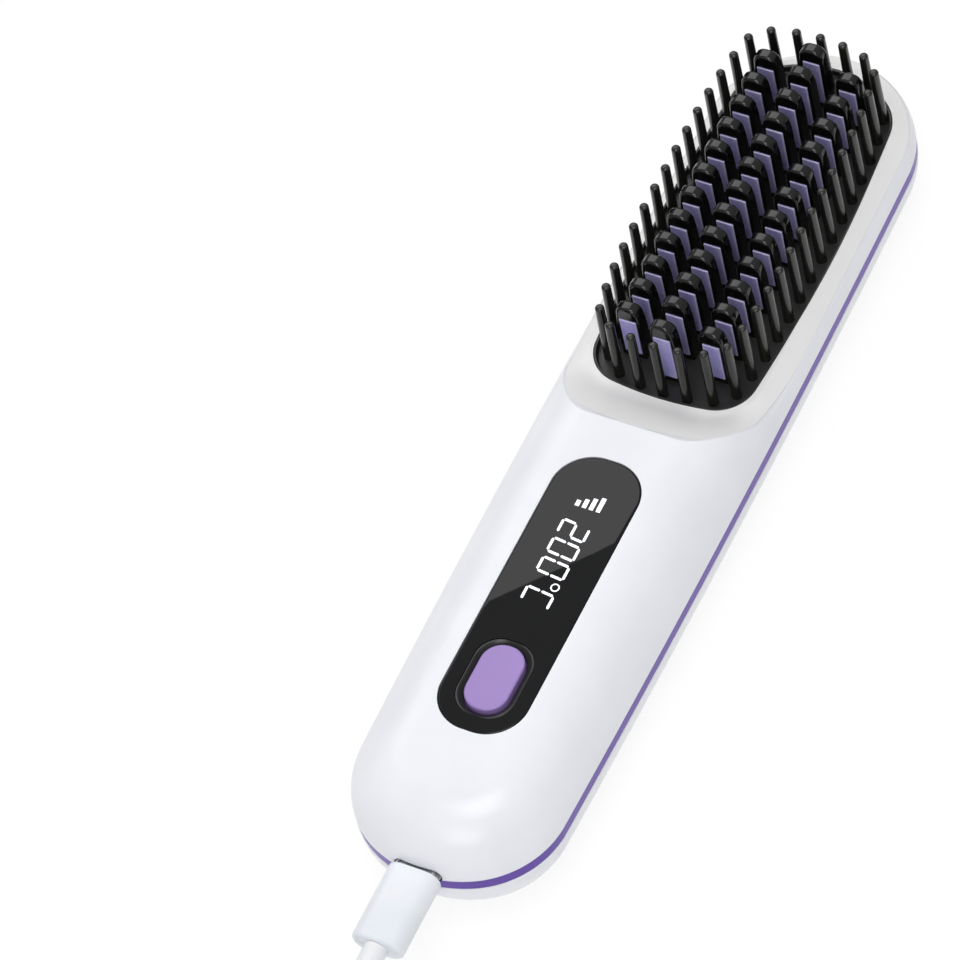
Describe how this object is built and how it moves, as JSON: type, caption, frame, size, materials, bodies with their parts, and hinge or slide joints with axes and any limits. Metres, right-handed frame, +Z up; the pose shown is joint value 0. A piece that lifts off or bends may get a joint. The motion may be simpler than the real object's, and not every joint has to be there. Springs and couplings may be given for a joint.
{
  "type": "hot comb",
  "caption": "Cordless heated straightening comb with shielded hot teeth, spacer pins, a temperature read-out, a power button and a plug-in charging cable.",
  "frame": {"origin": "under the middle of the body, on the surface that its back lies on", "axes": "+X across the body to the right when its comb is seen from above and its tail is near, +Y along the body from the charging port to the head, +Z up out of the comb"},
  "size_m": [0.0433, 0.3188, 0.0372],
  "materials": {
    "shell_white": "soft gloss",
    "bezel_grey": "satin",
    "trim_purple": "metallic gloss",
    "window_smoke": "polished, smoked",
    "ring_grey": "gloss",
    "button_lilac": "satin gloss",
    "comb_black": "gloss",
    "plate_purple": "coloured ceramic coat",
    "inner_black": "matte",
    "heater_white": "matte",
    "film_amber": "film",
    "steel": "plain",
    "nickel": "bright",
    "cell_wrap": "shrink wrap",
    "foam_grey": "foam",
    "board_green": "solder mask",
    "chip_black": "moulded",
    "solder_tin": "tinned",
    "wire_red": "satin",
    "glass_bead": "clear",
    "cord_white": "satin",
    "plug_white": "satin gloss",
    "tie_black": "matte"
  },
  "bodies": {
    "brush": {"back_cover": "shell_white", "front_cover": "shell_white", "head_bezel": "bezel_grey", "side_trim": "trim_purple", "display_window": "window_smoke", "button_ring": "ring_grey", "display_board": "board_green", "display_module": "chip_black", "tact_switch": "steel", "display_screws": "steel", "comb_deck": "comb_black", "comb_pins": "comb_black", "tooth_guards": "comb_black", "heating_plate": "plate_purple", "heater_element": "heater_white", "heater_insulation": "film_amber", "heater_clamp": "steel", "heater_tray": "inner_black", "comb_screws": "steel", "thermistor": "glass_bead", "thermal_fuse": "solder_tin", "battery_cells": "cell_wrap", "battery_straps": "nickel", "battery_holder": "inner_black", "battery_pads": "foam_grey", "holder_screws": "steel", "main_board": "board_green", "board_screws": "steel", "usb_socket": "steel", "controller_chip": "chip_black", "power_inductor": "chip_black", "board_parts": "solder_tin", "heater_leads": "wire_red", "battery_leads": "wire_red"},
    "button": {"power_button": "button_lilac"},
    "cord": {"plug_body": "plug_white", "plug_tip": "steel", "charge_cable": "cord_white", "cable_hank": "cord_white", "cable_tie": "tie_black", "cable_tail": "cord_white", "far_plug_body": "plug_white", "far_plug_tip": "steel"}
  },
  "joints": [
    {"name": "button_press", "type": "slide", "parent": "brush", "child": "button", "axis": [0, 0, -1], "range_m": [0, 0.0005], "stiffness_N_per_m": 1500, "springref_m": -0.0006},
    {"name": "plug_pull", "type": "slide", "parent": "brush", "child": "cord", "axis": [0, -1, 0], "range_m": [0, 0.012]}
  ]
}
